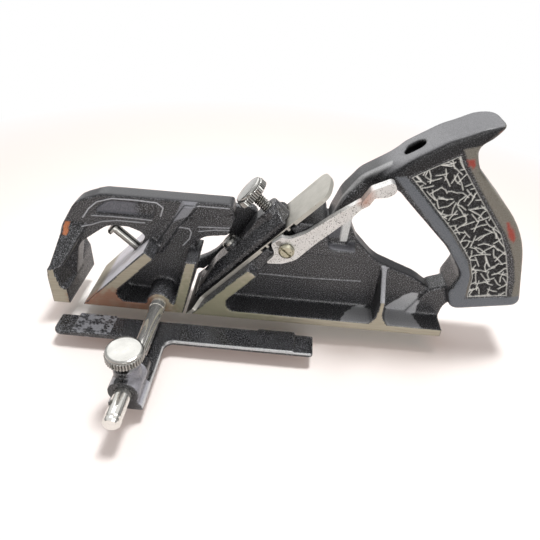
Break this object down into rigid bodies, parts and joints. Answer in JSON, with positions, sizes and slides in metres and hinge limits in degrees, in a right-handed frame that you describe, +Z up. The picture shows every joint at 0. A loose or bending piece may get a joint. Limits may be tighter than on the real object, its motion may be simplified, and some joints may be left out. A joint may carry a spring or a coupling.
{
  "type": "rebate plane",
  "caption": "Cast-iron rebate plane with a closed handle, a bullnose seat at the toe, a lever-adjusted cutter under a lever cap, a fence on a side rod, a depth stop and a spur.",
  "frame": {"origin": "centre of the sole's underside", "axes": "+X from toe to heel, +Y to the plane's right, +Z up from the sole"},
  "size_m": [0.2525, 0.1318, 0.1272],
  "materials": {
    "black_enamel": "black enamel over cast iron, ground bright on the sole and sides",
    "tool_steel": "ground steel with fine scratches",
    "nickel_plate": "worn nickel plate",
    "bright_steel": "turned steel, slightly tarnished"
  },
  "bodies": {
    "body": {"plane_body": "black_enamel", "main_hook_screw": "bright_steel", "bullnose_hook_screw": "bright_steel", "lever_pivot_screw": "bright_steel", "spur_screw": "bright_steel", "lever_cap": "black_enamel"},
    "cutter": {"cutter": "tool_steel"},
    "lever_cap_screw": {"lever_cap_screw": "nickel_plate"},
    "adjusting_lever": {"adjusting_lever": "nickel_plate", "lever_stud": "bright_steel"},
    "fence": {"fence": "black_enamel"},
    "fence_thumb_screw": {"fence_thumb_screw": "nickel_plate"},
    "fence_rod": {"fence_rod": "nickel_plate"},
    "depth_stop": {"depth_stop": "black_enamel"},
    "depth_stop_screw": {"depth_stop_screw": "nickel_plate"},
    "spur": {"spur": "tool_steel"}
  },
  "joints": [
    {"name": "lever_turn", "type": "hinge", "parent": "body", "child": "adjusting_lever", "pos_m": [0.01954, -0.015, 0.0465], "axis": [0, 1, 0], "range_deg": [-8, 8]},
    {"name": "cutter_feed", "type": "slide", "parent": "body", "child": "cutter", "axis": [0.6691, 0, 0.7431], "range_m": [-0.00076, 0.00076]},
    {"name": "cap_screw_turn", "type": "hinge", "parent": "body", "child": "lever_cap_screw", "pos_m": [0.00826, 0, 0.06042], "axis": [-0.7431, 0, 0.6691], "continuous": true},
    {"name": "fence_slide", "type": "slide", "parent": "body", "child": "fence", "axis": [0, 1, 0], "range_m": [-0.012, 0.02]},
    {"name": "fence_screw_turn", "type": "hinge", "parent": "fence", "child": "fence_thumb_screw", "pos_m": [-0.0475, -0.0735, 0.02], "axis": [0, 0, 1], "continuous": true},
    {"name": "rod_turn", "type": "hinge", "parent": "body", "child": "fence_rod", "pos_m": [-0.0475, -0.05, 0.006], "axis": [0, 1, 0], "continuous": true},
    {"name": "stop_slide", "type": "slide", "parent": "body", "child": "depth_stop", "axis": [0, 0, 1], "range_m": [-0.0095, 0.008]},
    {"name": "stop_screw_turn", "type": "hinge", "parent": "body", "child": "depth_stop_screw", "pos_m": [0.0185, 0.022, 0.028], "axis": [0, 1, 0], "continuous": true},
    {"name": "spur_turn", "type": "hinge", "parent": "body", "child": "spur", "pos_m": [-0.0393, 0.018, 0.0038], "axis": [0, 1, 0], "continuous": true}
  ],
  "couplings": [
    {"joint": "lever_turn", "follows": "cutter_feed", "rad_per_m": 181.8}
  ]
}
